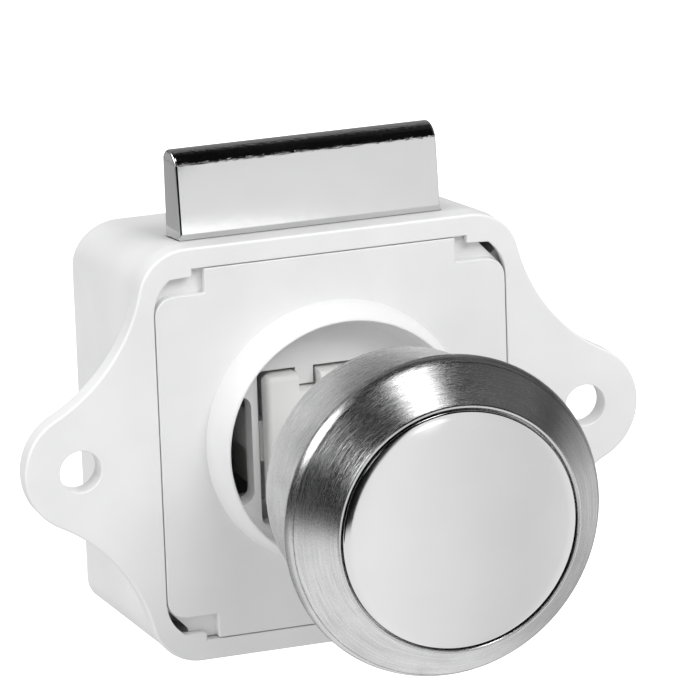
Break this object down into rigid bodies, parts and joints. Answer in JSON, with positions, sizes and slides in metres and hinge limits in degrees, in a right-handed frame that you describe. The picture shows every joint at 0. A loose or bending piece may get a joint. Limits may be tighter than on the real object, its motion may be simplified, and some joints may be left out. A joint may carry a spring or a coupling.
{
  "type": "pushbutton cabinet latch",
  "caption": "Push-push cabinet latch with eared plastic case, cover with round collar, sprung chrome bolt on top and a large round metal knob popped out in front.",
  "frame": {"origin": "midway between the two screw holes, on the face of the flange that meets the back of the door", "axes": "+X from ear to ear, +Z along the bolt, -Y out through the door to the knob"},
  "size_m": [0.0794, 0.0733, 0.0629],
  "materials": {
    "case_plastic": "white moulded plastic, slightly glossy",
    "cover_plastic": "white moulded plastic, slightly glossy",
    "plunger_plastic": "white acetal, satin",
    "carriage_plastic": "off-white acetal, satin",
    "bolt_chrome": "satin chrome plating on a zinc casting",
    "knob_metal": "nickel plating, brushed round the axis",
    "cap_metal": "fine satin chrome",
    "spring_steel": "drawn spring wire",
    "fixing_steel": "zinc-plated steel",
    "insert_brass": "turned brass"
  },
  "bodies": {
    "case": {"case": "case_plastic", "cover": "cover_plastic", "plunger_spring": "spring_steel", "bolt_spring_left": "spring_steel", "bolt_spring_right": "spring_steel", "follower_leaf": "spring_steel"},
    "knob": {"plunger": "plunger_plastic", "stem_insert": "insert_brass", "knob_shell": "knob_metal", "knob_hub": "carriage_plastic", "knob_cap": "cap_metal", "knob_screw": "fixing_steel", "knob_washer": "fixing_steel"},
    "bolt": {"bolt_carriage": "carriage_plastic", "bolt_head": "bolt_chrome", "bolt_pin_left": "fixing_steel", "bolt_pin_right": "fixing_steel"},
    "follower": {"cam_follower": "spring_steel"}
  },
  "joints": [
    {"name": "knob_push", "type": "slide", "parent": "case", "child": "knob", "axis": [0, 1, 0], "range_m": [0, 0.009], "stiffness_N_per_m": 500, "springref_m": -0.006, "deforming": ["plunger_spring"]},
    {"name": "bolt_retract", "type": "slide", "parent": "case", "child": "bolt", "axis": [0, 0, -1], "range_m": [0, 0.0094], "stiffness_N_per_m": 400, "springref_m": -0.006, "deforming": ["bolt_spring_left", "bolt_spring_right"]},
    {"name": "follower_swing", "type": "hinge", "parent": "case", "child": "follower", "pos_m": [0, 0.0252, -0.00865], "axis": [0, 0, 1], "range_deg": [0, 16.2]}
  ],
  "couplings": [
    {"joint": "follower_swing", "follows": "knob_push", "rad_per_m": 31.3}
  ]
}
